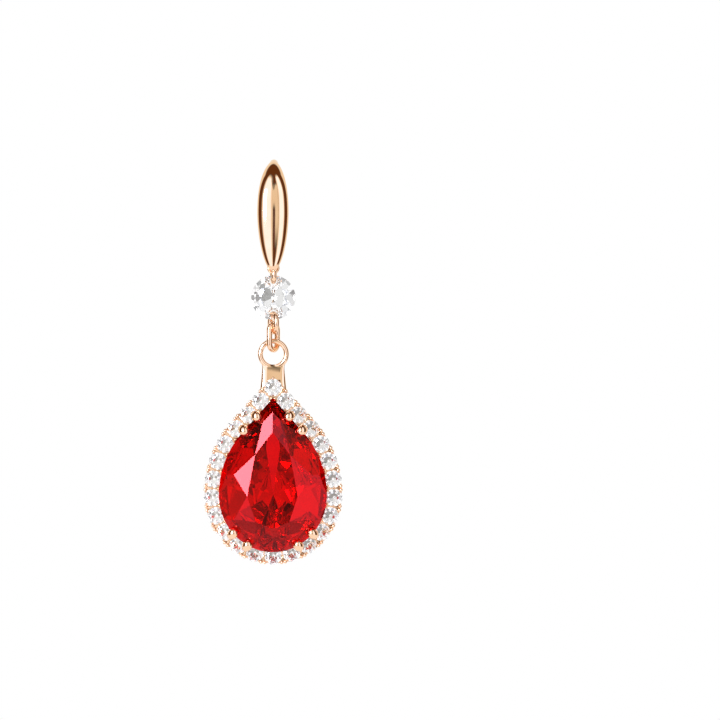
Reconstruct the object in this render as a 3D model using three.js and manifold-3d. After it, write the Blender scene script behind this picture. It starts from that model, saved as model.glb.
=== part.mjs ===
// Teardrop earring: ear wire with a domed leaf front, a drilled round brilliant between two jump rings,
// an oval link, and a pear-shaped halo drop with a red centre stone.
// Millimetres, +Z up, the front faces -Y. The origin is the underside of the ear wire's arch.

import * as THREE from 'three';
import { mergeVertices } from 'three/addons/utils/BufferGeometryUtils.js';
import Module from 'manifold-3d';

const wasm = await Module();
wasm.setup();

// Ear hook
const WIRE_D = 0.8; // ear wire
const LOBE_GAP = 6.0; // clear space between the leaf and the rear wire, at the arch
const LEAF_LENGTH = 10.6; // top of the arch to the leaf's tip, seen from the front
const LEAF_WIDEST = 5.15; // top of the arch to the leaf's widest level
const LEAF_WIDTH = 2.94;
const LEAF_CROWN = 0.8; // dome in front of the leaf's centre line
const LEAF_BACK = 0.3; // leaf behind its centre line
const LEAF_LEAN = 0.25; // how far the tip lies behind the arch's foot
const TAIL_DROP = 9.0; // rear wire's end below the ear
const TAIL_BACK = 0.7; // rear wire's end behind the arch's foot
const TIP_HALF_W = 0.12; // leaf just above its tip
const EYE_HOLE_R = 0.34; // eye soldered behind the leaf's tip
const EYE_WALL = 0.24;
const EYE_THICK = 0.3;
const EYE_STEM_R = 0.2;
const EYE_ABOVE_TIP = 0.38; // leaf's tip up to the eye's centre

// Jump rings, drilled stone and link
const RING_WIRE_D = 0.5;
const UPPER_RING_R = 0.62; // centre line
const LOWER_RING_R = 0.84; // centre line
const LINK_WIRE_D = 0.52;
const LINK_HALF_W = 0.64; // centre line
const LINK_LENGTH = 2.495; // centre line, top to bottom
const LINK_CATCH = 0.8; // lower ring's bottom wire up to the link's top wire, centre to centre
const UPPER_RING_TURN = 8; // degrees about the vertical
const LOWER_RING_TURN = 22;
const LINK_TURN = -33;
const ROUND_D = 4.1;
const DRILL_R = 0.36;
const DRILL_EDGE = 0.54; // stone's edge to a drilled hole's centre
const DRILL_WAIST = 0.2; // narrow middle of a drilled hole
const DRILL_FLARE = 0.4; // how much a hole's radius grows for each mm away from the girdle
const LINK_SLACK = 0.35; // link's lower end below the bail's top wire

// Drop
const BAIL_OUTER_R = 1.44;
const BAIL_WIRE_W = 0.465;
const BAIL_WIRE_T = 0.46;
const BAIL_ABOVE_STONE = 3.1; // top halo stone's centre up to the bail's
const NECK_TOP_HALF_W = 1.0;
const NECK_FOOT_HALF_W = 1.18;
const NECK_FEET_BELOW = 0.13; // neck's two feet below the top halo stone's centre
const NECK_FACE_Y = 0.04; // neck's face behind the plate's
const NECK_FACE_H = 1.25; // neck's feet up to where its face slopes back to the bail
const NECK_TOP_T = 0.36;
const PLATE_T = 1.1;
const PLATE_LIP = 0.1; // halo stones' edge past either edge of the plate
const HALO_BESIDE = 0.64; // pear stone's edge out to the halo stones' centre line, at the widest level
const HALO_BELOW = 0.39;
const HALO_ABOVE = 0.96;
const HALO_SHOULDER_MORE = 0.92;
const HALO_COUNT = 24;
const HALO_STONE_GAP = 0.1; // between neighbouring halo stones
const HALO_SEAT_LEDGE = 0.17; // ledge under a halo stone's edge
const HALO_GIRDLE_Y = -0.22; // halo stones' girdle in front of the plate
const PRONG_R = 0.14;
const PRONG_APART = 0.28; // two prongs at one junction, centre to centre
const PRONG_IN = 0.06; // prongs' centres inside the plate's outer edge
const PRONG_RISE = 0.42; // prongs' tips in front of the plate
const BEAD_IN = 0.16; // inner beads' centres inside the plate's inner edge

// Pear stone and its claws
const PEAR_HALF_W = 5.0;
const PEAR_LOWER = 5.3;
const PEAR_UPPER = 8.95;
const PEAR_SHOULDER_R = 8.74;
const PEAR_MAINS = 12; // main facets round the stone
const PEAR_GIRDLE_Y = -0.78; // girdle's middle in front of the plate
const PEAR_GIRDLE_T = 0.16;
const PEAR_CROWN_H = 1.35;
const PEAR_PAVILION_H = 3.6;
const PEAR_TABLE = 0.52; // table as a share of the outline
const CLAW_R = 0.26;
const CLAW_BEAD_R = 0.42;
const CLAW_GRIP = 0.1; // claws' centres outside the pear stone's edge
const CLAW_WAIST = 0.15; // claws' centres inside that edge, at the plate
const CLAW_PLACES = [0.0612, 0.1077, 0.3876, 0.4339]; // each side's claws, as shares of the way round
const RAIL_SHARE = 0.6; // gallery rail behind the pear stone, as a share of its outline
const RAIL_R = 0.32;
const RAIL_Y = 2.55; // behind the plate's face

const SEAT_CLEAR = 0.05; // between a stone and its metal

const rad = THREE.MathUtils.degToRad;
const gold = () => new THREE.MeshStandardMaterial({ color: 0xe3b084, roughness: 0.18, metalness: 1 });
const clear = () => new THREE.MeshStandardMaterial({ color: 0xeef2f6, roughness: 0.02, metalness: 0 });
const red = () => new THREE.MeshStandardMaterial({ color: 0xb00818, roughness: 0.02, metalness: 0 });

// Geometry and solids

function fromTriangles(positions, indices) {
  const geometry = new THREE.BufferGeometry();
  geometry.setAttribute('position', new THREE.Float32BufferAttribute(positions, 3));
  geometry.setIndex(indices);
  return geometry;
}

function solid(geometry) {
  const bare = geometry.clone();
  bare.deleteAttribute('normal');
  bare.deleteAttribute('uv');
  const merged = mergeVertices(bare, 1e-4);
  return new wasm.Manifold(new wasm.Mesh({
    numProp: 3,
    vertProperties: new Float32Array(merged.attributes.position.array),
    triVerts: new Uint32Array(merged.index.array),
  }));
}

function geometryOf(body) {
  const mesh = body.getMesh();
  return fromTriangles(Array.from(mesh.vertProperties), Array.from(mesh.triVerts));
}

const joined = (bodies) => bodies.reduce((all, body) => all.add(body));

function mesh(name, geometry, material) {
  const piece = new THREE.Mesh(geometry, material);
  piece.name = name;
  return piece;
}

// A skin over rows of points, closed at both ends by the two end points
function loft(start, rows, end) {
  const sides = rows[0].length;
  const points = [start, ...rows.flat(), end];
  const indices = [];
  const at = (row, side) => 1 + row * sides + (side % sides);
  for (let side = 0; side < sides; side += 1) {
    indices.push(0, at(0, side), at(0, side + 1));
    indices.push(points.length - 1, at(rows.length - 1, side + 1), at(rows.length - 1, side));
    for (let row = 0; row + 1 < rows.length; row += 1) {
      const corners = [at(row, side), at(row + 1, side), at(row + 1, side + 1), at(row, side + 1)];
      indices.push(corners[0], corners[1], corners[2], corners[0], corners[2], corners[3]);
    }
  }
  return fromTriangles(points.flatMap((p) => [p.x, p.y, p.z]), indices);
}

// A wire of round section along a closed path in the XZ plane
function closedWire(path, halfWidth, halfDepth, sides) {
  const count = path.length;
  const positions = [];
  const indices = [];
  path.forEach((point, i) => {
    const along = path[(i + 1) % count].clone().sub(path[(i + count - 1) % count]).normalize();
    for (let side = 0; side < sides; side += 1) {
      const angle = (2 * Math.PI * (side + 0.5)) / sides;
      const out = halfWidth * Math.cos(angle);
      positions.push(point.x + out * along.y, halfDepth * Math.sin(angle), point.y - out * along.x);
      const next = (i + 1) % count;
      const a = i * sides + side;
      const b = i * sides + ((side + 1) % sides);
      const c = next * sides + side;
      const d = next * sides + ((side + 1) % sides);
      indices.push(a, b, c, b, d, c);
    }
  });
  return fromTriangles(positions, indices);
}

const circle = (radius, count) => Array.from({ length: count }, (_, i) => {
  const angle = (2 * Math.PI * i) / count;
  return new THREE.Vector2(radius * Math.cos(angle), radius * Math.sin(angle));
});

// A rod between two points
function rod(from, to, radius, sides, endRadius = radius) {
  const span = to.clone().sub(from);
  const shape = new THREE.CylinderGeometry(endRadius, radius, span.length(), sides);
  shape.applyQuaternion(new THREE.Quaternion().setFromUnitVectors(
    new THREE.Vector3(0, 1, 0), span.clone().normalize()));
  shape.translate(...from.clone().add(to).multiplyScalar(0.5).toArray());
  return solid(shape);
}

// Outlines

// A pear outline: half an ellipse below the widest level, then an arc and a straight line to the point.
// place(share) gives the point, and the outward direction, at a share of the way round from the point.
class Pear {
  constructor(halfWidth, lower, upper, shoulderR) {
    Object.assign(this, { halfWidth, lower, upper, shoulderR });
    let low = 0;
    let high = Math.PI / 2;
    for (let i = 0; i < 50; i += 1) {
      const turn = (low + high) / 2;
      const x = halfWidth - shoulderR * (1 - Math.cos(turn));
      const reach = shoulderR * Math.sin(turn) + x / Math.tan(turn);
      if (x > 0 && reach > upper) low = turn;
      else high = turn;
    }
    this.turn = (low + high) / 2;
    const fine = 400;
    const half = [];
    const shoulder = new THREE.Vector2(
      halfWidth - shoulderR * (1 - Math.cos(this.turn)), shoulderR * Math.sin(this.turn));
    for (let i = 0; i < fine; i += 1) half.push(new THREE.Vector2(0, upper).lerp(shoulder, i / fine));
    for (let i = 0; i < fine; i += 1) {
      const angle = this.turn * (1 - i / fine);
      half.push(new THREE.Vector2(
        halfWidth - shoulderR * (1 - Math.cos(angle)), shoulderR * Math.sin(angle)));
    }
    for (let i = 0; i <= fine; i += 1) {
      const angle = (Math.PI / 2) * (i / fine);
      half.push(new THREE.Vector2(halfWidth * Math.cos(angle), -lower * Math.sin(angle)));
    }
    this.half = half;
    this.lengths = [0];
    half.slice(1).forEach((p, i) => this.lengths.push(this.lengths[i] + p.distanceTo(half[i])));
  }

  place(share) {
    const wrapped = ((share % 1) + 1) % 1;
    const mirrored = wrapped > 0.5;
    const aim = (mirrored ? 1 - wrapped : wrapped) * 2 * this.lengths.at(-1);
    let i = this.lengths.findIndex((length) => length >= aim - 1e-9);
    i = Math.max(1, i);
    const part = (aim - this.lengths[i - 1]) / (this.lengths[i] - this.lengths[i - 1]);
    const at = this.half[i - 1].clone().lerp(this.half[i], part);
    const along = this.half[i].clone().sub(this.half[i - 1]).normalize();
    const out = new THREE.Vector2(-along.y, along.x);
    if (wrapped < 1e-9) out.set(0, 1);
    if (Math.abs(wrapped - 0.5) < 1e-9) out.set(0, -1);
    if (mirrored) {
      at.x *= -1;
      out.x *= -1;
    }
    return { at, out };
  }

  get length() {
    return 2 * this.lengths.at(-1);
  }

  // The outline moved outwards, with its point kept sharp
  offset(distance) {
    const tip = distance / Math.sin(this.turn);
    return new Pear(this.halfWidth + distance, this.lower + distance, this.upper + tip,
      this.shoulderR + distance);
  }

  // The outline's corners, anticlockwise: steps along each shoulder arc and the lower half, and the point
  corners(arcSteps, lowerSteps) {
    const side = [];
    for (let i = 0; i < arcSteps; i += 1) {
      const angle = this.turn * (1 - i / arcSteps);
      side.push(new THREE.Vector2(
        this.halfWidth - this.shoulderR * (1 - Math.cos(angle)), this.shoulderR * Math.sin(angle)));
    }
    for (let i = 0; i < lowerSteps; i += 1) {
      const angle = (Math.PI / 2) * (i / lowerSteps);
      side.push(new THREE.Vector2(this.halfWidth * Math.cos(angle), -this.lower * Math.sin(angle)));
    }
    const mirror = side.map((p) => new THREE.Vector2(-p.x, p.y)).reverse();
    return [new THREE.Vector2(0, this.upper), ...side, new THREE.Vector2(0, -this.lower), ...mirror].reverse();
  }
}

// Stones

// A brilliant with its table towards -Y. place(share) is its outline, and mains its number of main facets.
// Each main facet is a true plane, and its neighbours meet it on one line.
function brilliant({ place, mains, girdleT, crownH, pavilionH, table, girdleSteps, centre }) {
  const positions = [];
  const indices = [];
  const point = (x, y, z) => positions.push(x, y, z) / 3 - 1;
  const triangle = (a, b, c) => indices.push(a, b, c);
  const edge = Array.from({ length: mains }, (_, k) => place(k / mains));
  const crownRise = edge.map(({ at, out }) => {
    const run = (1 - table) * at.clone().sub(centre).dot(out);
    return crownH / run;
  });
  const pavilionRise = edge.map(({ at, out }) => pavilionH / at.clone().sub(centre).dot(out));

  // Where two neighbouring main planes meet, at a share of their height
  const meet = (k, rise, height) => {
    const a = edge[k];
    const b = edge[(k + 1) % mains];
    const da = a.at.dot(a.out) - height / rise[k];
    const db = b.at.dot(b.out) - height / rise[(k + 1) % mains];
    const det = a.out.x * b.out.y - a.out.y * b.out.x;
    if (Math.abs(det) < 1e-6) { // both on one straight stretch
      return a.at.clone().add(b.at).divideScalar(2).addScaledVector(a.out, -height / rise[k]);
    }
    return new THREE.Vector2(
      (da * b.out.y - db * a.out.y) / det, (db * a.out.x - da * b.out.x) / det);
  };

  const front = -girdleT / 2;
  const steps = 2 * girdleSteps;
  const ringPoints = Array.from({ length: mains * steps }, (_, i) => place(i / (mains * steps)).at);
  const top = ringPoints.map((p) => point(p.x, front, p.y));
  const bottom = ringPoints.map((p) => point(p.x, -front, p.y));
  const tableRing = edge.map(({ at }) => {
    const p = centre.clone().lerp(at, table);
    return point(p.x, front - crownH, p.y);
  });
  const crownMeet = edge.map((_, k) => {
    const height = crownH * 0.56;
    const p = meet(k, crownRise, height);
    return point(p.x, front - height, p.y);
  });
  const pavilionMeet = edge.map((_, k) => {
    const height = pavilionH * 0.24;
    const p = meet(k, pavilionRise, height);
    return point(p.x, -front + height, p.y);
  });
  const middle = point(centre.x, front - crownH, centre.y);
  const culet = point(centre.x, -front + pavilionH, centre.y);

  for (let k = 0; k < mains; k += 1) {
    const next = (k + 1) % mains;
    const before = (k + mains - 1) % mains;
    const first = k * steps;
    triangle(middle, tableRing[next], tableRing[k]);
    triangle(tableRing[k], tableRing[next], crownMeet[k]);
    triangle(tableRing[k], crownMeet[k], top[first]);
    triangle(tableRing[k], top[first], crownMeet[before]);
    triangle(culet, pavilionMeet[before], bottom[first]);
    triangle(culet, bottom[first], pavilionMeet[k]);
    for (let i = first; i < first + steps; i += 1) {
      const j = (i + 1) % top.length;
      triangle(crownMeet[k], top[j], top[i]);
      triangle(pavilionMeet[k], bottom[i], bottom[j]);
      triangle(top[i], top[j], bottom[j]);
      triangle(top[i], bottom[j], bottom[i]);
    }
  }
  return fromTriangles(positions, indices);
}

function roundBrilliant(diameter, girdleSteps) {
  const place = (share) => {
    const angle = 2 * Math.PI * share;
    const out = new THREE.Vector2(Math.sin(angle), Math.cos(angle));
    return { at: out.clone().multiplyScalar(diameter / 2), out };
  };
  return brilliant({
    place,
    mains: 8,
    girdleT: 0.03 * diameter,
    crownH: 0.14 * diameter,
    pavilionH: 0.42 * diameter,
    table: 0.56,
    girdleSteps,
    centre: new THREE.Vector2(),
  });
}

// The same stone a little larger all round, which cuts its seat
function cutterOf(geometry, size) {
  const share = 1 + (2 * SEAT_CLEAR) / size;
  return solid(geometry.clone().scale(share, share, share));
}

const alongY = (x, z, fromY, toY, radius, sides) => rod(
  new THREE.Vector3(x, fromY, z), new THREE.Vector3(x, toY, z), radius, sides);

// Levels of the hanging pieces

const archR = (LOBE_GAP + WIRE_D) / 2;
const archTop = WIRE_D;
const archZ = WIRE_D / 2 - archR;
const leafTip = archTop - LEAF_LENGTH;
const ringR = RING_WIRE_D / 2;
const linkR = LINK_WIRE_D / 2;
const eyeZ = leafTip + EYE_ABOVE_TIP;
const eyeR = EYE_HOLE_R + EYE_WALL / 2;
const upperRingZ = eyeZ - UPPER_RING_R;
const roundTopHoleZ = upperRingZ - UPPER_RING_R;
const roundZ = roundTopHoleZ + DRILL_EDGE - ROUND_D / 2;
const roundLowHoleZ = roundZ - ROUND_D / 2 + DRILL_EDGE;
const lowerRingZ = roundLowHoleZ - LOWER_RING_R;
const linkTopZ = lowerRingZ - LOWER_RING_R + LINK_CATCH;
const bailR = BAIL_OUTER_R - BAIL_WIRE_W / 2;
const linkLowZ = linkTopZ - LINK_LENGTH;
const bailZ = linkLowZ + linkR + LINK_SLACK + BAIL_WIRE_W - BAIL_OUTER_R;
const leafY = (z) => {
  const share = THREE.MathUtils.clamp((archZ - z) / (archZ - leafTip), 0, 1);
  return -archR + LEAF_LEAN * share * share;
};
const hangY = leafY(leafTip) + LEAF_BACK / 2 + UPPER_RING_R + ringR + 2 * SEAT_CLEAR;
const topStoneZ = PEAR_UPPER + HALO_ABOVE; // above the pear stone's widest level
const bailUp = topStoneZ + BAIL_ABOVE_STONE;
const girdleZ = bailZ - bailUp;

// Ear hook

// Half the leaf's width at a height, as seen from the front
function leafHalfWidth(z) {
  const widest = archTop - LEAF_WIDEST;
  if (z > widest) {
    const share = Math.min(1, (z - widest) / LEAF_WIDEST);
    return (LEAF_WIDTH / 2) * Math.sqrt(1 - share * share);
  }
  const share = Math.min(1, (widest - z) / (widest - leafTip));
  return (LEAF_WIDTH / 2) * (1 - share ** 1.8) ** 0.55;
}

function section(centre, along, halfWidth, frontDepth, backDepth) {
  const sides = 14;
  const back = new THREE.Vector3(0, -along.z, along.y);
  return Array.from({ length: sides }, (_, i) => {
    const angle = (2 * Math.PI * i) / sides;
    const depth = Math.sin(angle) > 0 ? backDepth : frontDepth;
    return centre.clone()
      .addScaledVector(new THREE.Vector3(1, 0, 0), halfWidth * Math.cos(angle))
      .addScaledVector(back, depth * Math.sin(angle));
  });
}

function earHook() {
  const r = WIRE_D / 2;
  const rows = [];
  const down = new THREE.Vector3(0, 0, -1);
  const tailSteps = 5;
  for (let i = 0; i < tailSteps; i += 1) {
    const left = 1 - i / tailSteps;
    const z = archZ - (TAIL_DROP + archZ - r) * left;
    const lean = new THREE.Vector3(0, -2 * TAIL_BACK * left / (TAIL_DROP + archZ), 1).normalize();
    const at = new THREE.Vector3(0, archR + TAIL_BACK * left * left, z);
    if (i === 0) rows.push(section(at.clone().addScaledVector(lean, -0.7 * r), lean, 0.7 * r, 0.7 * r, 0.7 * r));
    rows.push(section(at, lean, r, r, r));
  }
  const leafRow = (at, along, seenZ) => {
    const seen = leafHalfWidth(seenZ);
    const halfWidth = at.z > archZ ? Math.max(r, seen) : Math.max(TIP_HALF_W, seen);
    const open = THREE.MathUtils.clamp((halfWidth - r) / (LEAF_WIDTH / 2 - r), 0, 1);
    const front = Math.min(halfWidth, r) + (LEAF_CROWN - r) * open;
    const back = Math.min(halfWidth, r) + (LEAF_BACK - r) * Math.sqrt(open);
    rows.push(section(at, along, halfWidth, front, back));
  };
  const archSteps = 16;
  for (let i = 0; i <= archSteps; i += 1) {
    const angle = (Math.PI * i) / archSteps;
    const at = new THREE.Vector3(0, archR * Math.cos(angle), archZ + archR * Math.sin(angle));
    const along = new THREE.Vector3(0, -Math.sin(angle), Math.cos(angle));
    if (2 * i <= archSteps) rows.push(section(at, along, r, r, r));
    else leafRow(at, along, at.z + r * Math.sin(angle));
  }
  const leafSteps = 11;
  for (let i = 1; i < leafSteps; i += 1) {
    const share = Math.sin((Math.PI / 2) * (i / leafSteps));
    const z = archZ + (leafTip - archZ) * share;
    leafRow(new THREE.Vector3(0, leafY(z), z), down, z);
  }
  const start = rows[0].reduce((sum, p) => sum.add(p), new THREE.Vector3()).divideScalar(rows[0].length);
  start.z -= 0.3 * r;
  const end = new THREE.Vector3(0, leafY(leafTip), leafTip);
  const shaft = solid(loft(start, rows, end));

  const eye = solid(closedWire(circle(eyeR, 16), EYE_WALL / 2, EYE_THICK / 2, 6).translate(0, hangY, eyeZ));
  const stemZ = eyeZ + eyeR + 1.5 * EYE_STEM_R;
  const stem = rod(
    new THREE.Vector3(0, leafY(stemZ), stemZ),
    new THREE.Vector3(0, hangY, eyeZ + eyeR), EYE_STEM_R, 8);
  return geometryOf(joined([shaft, eye, stem]));
}

// Jump rings, drilled stone and link

function ringGeometry(radius) {
  return closedWire(circle(radius, 16), ringR, ringR, 6);
}

function hole(z) {
  const reach = ROUND_D / 2;
  const waist = DRILL_WAIST / 2;
  const wide = DRILL_R + DRILL_FLARE * (reach - waist);
  const frontCone = rod(new THREE.Vector3(0, -waist, z), new THREE.Vector3(0, -reach, z), DRILL_R, 12, wide);
  const backCone = rod(new THREE.Vector3(0, waist, z), new THREE.Vector3(0, reach, z), DRILL_R, 12, wide);
  const bore = rod(new THREE.Vector3(0, -1.1 * waist, z), new THREE.Vector3(0, 1.1 * waist, z), DRILL_R, 12);
  return joined([bore, frontCone, backCone]);
}

function drilledStone() {
  const fromCentre = ROUND_D / 2 - DRILL_EDGE;
  return geometryOf(solid(roundBrilliant(ROUND_D, 2))
    .subtract(hole(fromCentre))
    .subtract(hole(-fromCentre)));
}

function ovalLink() {
  const straight = linkTopZ - linkLowZ - 2 * LINK_HALF_W;
  const path = circle(LINK_HALF_W, 20).map((p) => {
    const side = Math.abs(p.y) < 1e-9 ? 0 : Math.sign(p.y);
    return new THREE.Vector2(p.x, p.y + (side * straight) / 2);
  });
  return closedWire(path, linkR, linkR, 6);
}

// Drop

const pear = new Pear(PEAR_HALF_W, PEAR_LOWER, PEAR_UPPER, PEAR_SHOULDER_R);
const haloLine = new Pear(PEAR_HALF_W + HALO_BESIDE, PEAR_LOWER + HALO_BELOW, topStoneZ,
  PEAR_SHOULDER_R + HALO_SHOULDER_MORE);
const railLine = new Pear(...[PEAR_HALF_W, PEAR_LOWER, PEAR_UPPER, PEAR_SHOULDER_R].map((size) => size * RAIL_SHARE));
const haloStoneD = haloLine.length / HALO_COUNT - HALO_STONE_GAP;
const plateEdge = haloStoneD / 2 - PLATE_LIP;

const pearGeometry = brilliant({
  place: (share) => pear.place(share + 0.5 / PEAR_MAINS),
  mains: PEAR_MAINS,
  girdleT: PEAR_GIRDLE_T,
  crownH: PEAR_CROWN_H,
  pavilionH: PEAR_PAVILION_H,
  table: PEAR_TABLE,
  girdleSteps: 2,
  centre: new THREE.Vector2(),
});
const haloStoneGeometry = roundBrilliant(haloStoneD, 1);

function outlineShape(points) {
  return new THREE.Shape(points.map((p) => p.clone()));
}

// A plate from its outline, from one depth to another
function plate(shape, fromY, toY) {
  const body = new THREE.ExtrudeGeometry(shape, { depth: toY - fromY, bevelEnabled: false });
  body.rotateX(Math.PI / 2);
  body.translate(0, toY, 0);
  return solid(body);
}

function haloPlate() {
  const shape = outlineShape(haloLine.offset(plateEdge).corners(10, 16));
  shape.holes.push(new THREE.Path(haloLine.offset(-plateEdge).corners(9, 14)));
  return plate(shape, 0, PLATE_T);
}

const haloPlaces = Array.from({ length: HALO_COUNT }, (_, i) => haloLine.place(i / HALO_COUNT));

function prong(at, radius, sides) {
  const foot = new THREE.Vector3(at.x, PLATE_T / 2, at.y);
  const shoulder = new THREE.Vector3(at.x, -PRONG_RISE + radius, at.y);
  const tip = new THREE.Vector3(at.x, -PRONG_RISE, at.y);
  return rod(foot, shoulder, radius, sides).add(rod(shoulder, tip, radius, sides, 0.4 * radius));
}

function prongs() {
  const all = [];
  for (let i = 0; i < HALO_COUNT; i += 1) {
    const { at, out } = haloLine.place((i + 0.5) / HALO_COUNT);
    const along = new THREE.Vector2(out.y, -out.x);
    for (const side of [-1, 1]) {
      const place = at.clone().addScaledVector(out, plateEdge - PRONG_IN)
        .addScaledVector(along, (side * PRONG_APART) / 2);
      all.push(prong(place, PRONG_R, 6));
    }
    all.push(prong(at.clone().addScaledVector(out, BEAD_IN - plateEdge), PRONG_R, 6));
  }
  return all;
}

// One claw: up from the gallery rail, past the plate's inner edge, round the girdle and over the crown
function claw(share) {
  const { at, out } = pear.place(share);
  const rail = railLine.place(share).at;
  const grip = at.clone().addScaledVector(out, CLAW_GRIP);
  const waist = at.clone().addScaledVector(out, -CLAW_WAIST);
  const girdle = PEAR_GIRDLE_Y - PEAR_GIRDLE_T / 2;
  const railEnd = new THREE.Vector3(rail.x, RAIL_Y, rail.y);
  const plateEnd = new THREE.Vector3(waist.x, PLATE_T / 2, waist.y);
  const girdleEnd = new THREE.Vector3(grip.x, girdle, grip.y);
  const bead = new THREE.IcosahedronGeometry(CLAW_BEAD_R, 1);
  bead.translate(grip.x, girdle - CLAW_BEAD_R / 3, grip.y);
  return joined([
    rod(railEnd, plateEnd, CLAW_R, 8),
    rod(plateEnd, girdleEnd, CLAW_R, 8),
    solid(bead),
  ]);
}

const clawShares = CLAW_PLACES.flatMap((share) => [share, 1 - share]);

// The neck leaves the bail at its lower corners, widens to the halo's point, and is thin at the bail
function neck() {
  const footZ = topStoneZ - NECK_FEET_BELOW;
  const topZ = bailUp - BAIL_OUTER_R * Math.SQRT1_2;
  const block = plate(new THREE.Shape([
    new THREE.Vector2(-NECK_TOP_HALF_W, topZ),
    new THREE.Vector2(-NECK_FOOT_HALF_W, footZ),
    new THREE.Vector2(NECK_FOOT_HALF_W, footZ),
    new THREE.Vector2(NECK_TOP_HALF_W, topZ),
  ]), 0, PLATE_T);
  const side = new THREE.ExtrudeGeometry(new THREE.Shape([
    new THREE.Vector2(NECK_FACE_Y, footZ - PLATE_T),
    new THREE.Vector2(PLATE_T + SEAT_CLEAR, footZ - PLATE_T),
    new THREE.Vector2(PLATE_T + SEAT_CLEAR, footZ),
    new THREE.Vector2((PLATE_T + NECK_TOP_T) / 2, topZ + SEAT_CLEAR),
    new THREE.Vector2((PLATE_T - NECK_TOP_T) / 2, topZ + SEAT_CLEAR),
    new THREE.Vector2(NECK_FACE_Y, footZ + NECK_FACE_H),
  ]), { depth: 4 * NECK_FOOT_HALF_W, bevelEnabled: false });
  side.translate(0, 0, -2 * NECK_FOOT_HALF_W);
  side.rotateX(Math.PI / 2);
  side.rotateZ(Math.PI / 2);
  return block.intersect(solid(side));
}

function bail() {
  return solid(closedWire(circle(bailR, 24), BAIL_WIRE_W / 2, BAIL_WIRE_T / 2, 8)
    .translate(0, PLATE_T / 2, bailUp));
}

function haloFrame() {
  const rail = solid(closedWire(railLine.corners(5, 9), RAIL_R, RAIL_R, 6).translate(0, RAIL_Y, 0));
  const metal = joined([haloPlate(), neck(), bail(), rail, ...prongs(), ...clawShares.map(claw)]);
  const wellR = (haloStoneD / 2 + SEAT_CLEAR) / Math.cos(Math.PI / 12);
  const seats = haloPlaces.flatMap(({ at }) => [
    alongY(at.x, at.y, -SEAT_CLEAR / 2, -PRONG_RISE - SEAT_CLEAR, wellR, 12),
    alongY(at.x, at.y, -SEAT_CLEAR, 2 * PLATE_T, haloStoneD / 2 - HALO_SEAT_LEDGE, 10),
  ]);
  const pearSeat = cutterOf(pearGeometry, 2 * PEAR_HALF_W).translate(0, PEAR_GIRDLE_Y, 0);
  const bailHole = alongY(0, bailUp, -PLATE_T, 2 * PLATE_T, BAIL_OUTER_R - BAIL_WIRE_W, 24);
  return geometryOf(metal.subtract(joined(seats)).subtract(pearSeat).subtract(bailHole));
}

// Assembly

const earring = new THREE.Group();
earring.add(mesh('ear_hook', earHook(), gold()));

const upperRing = mesh('upper_ring', ringGeometry(UPPER_RING_R), gold());
upperRing.position.set(0, hangY, upperRingZ);
upperRing.rotation.z = rad(90 + UPPER_RING_TURN);
earring.add(upperRing);

const roundStone = mesh('round_stone', drilledStone(), clear());
roundStone.position.set(0, hangY, roundZ);
earring.add(roundStone);

const lowerRing = mesh('lower_ring', ringGeometry(LOWER_RING_R), gold());
lowerRing.position.set(0, hangY, lowerRingZ);
lowerRing.rotation.z = rad(90 + LOWER_RING_TURN);
earring.add(lowerRing);

const link = mesh('oval_link', ovalLink(), gold());
link.position.set(0, hangY, (linkTopZ + linkLowZ) / 2);
link.rotation.z = rad(90 + LINK_TURN);
earring.add(link);

const drop = new THREE.Group();
drop.position.set(0, hangY - PLATE_T / 2, girdleZ);
earring.add(drop);
drop.add(mesh('halo_frame', haloFrame(), gold()));

const pearStone = mesh('pear_stone', pearGeometry, red());
pearStone.position.y = PEAR_GIRDLE_Y;
drop.add(pearStone);

haloPlaces.forEach(({ at }, i) => {
  const stone = mesh(`halo_stone_${String(i).padStart(2, '0')}`, haloStoneGeometry, clear());
  stone.position.set(at.x, HALO_GIRDLE_Y, at.y);
  drop.add(stone);
});

export default earring;
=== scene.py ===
# %% [markdown]
# A teardrop earring in Blender, built round its fixed metal-and-stone frame.
# The real earring is a cast and polished rose gold ear wire, two jump rings through a drilled round stone,
# an oval link, and a halo drop: small round stones in drilled seats round a big red pear cut.
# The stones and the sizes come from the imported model. This lesson makes the polished metal, the cut-stone
# finishes and the studio light.

# %% Load the fixed frame and measure it
import contextlib
import math

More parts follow.
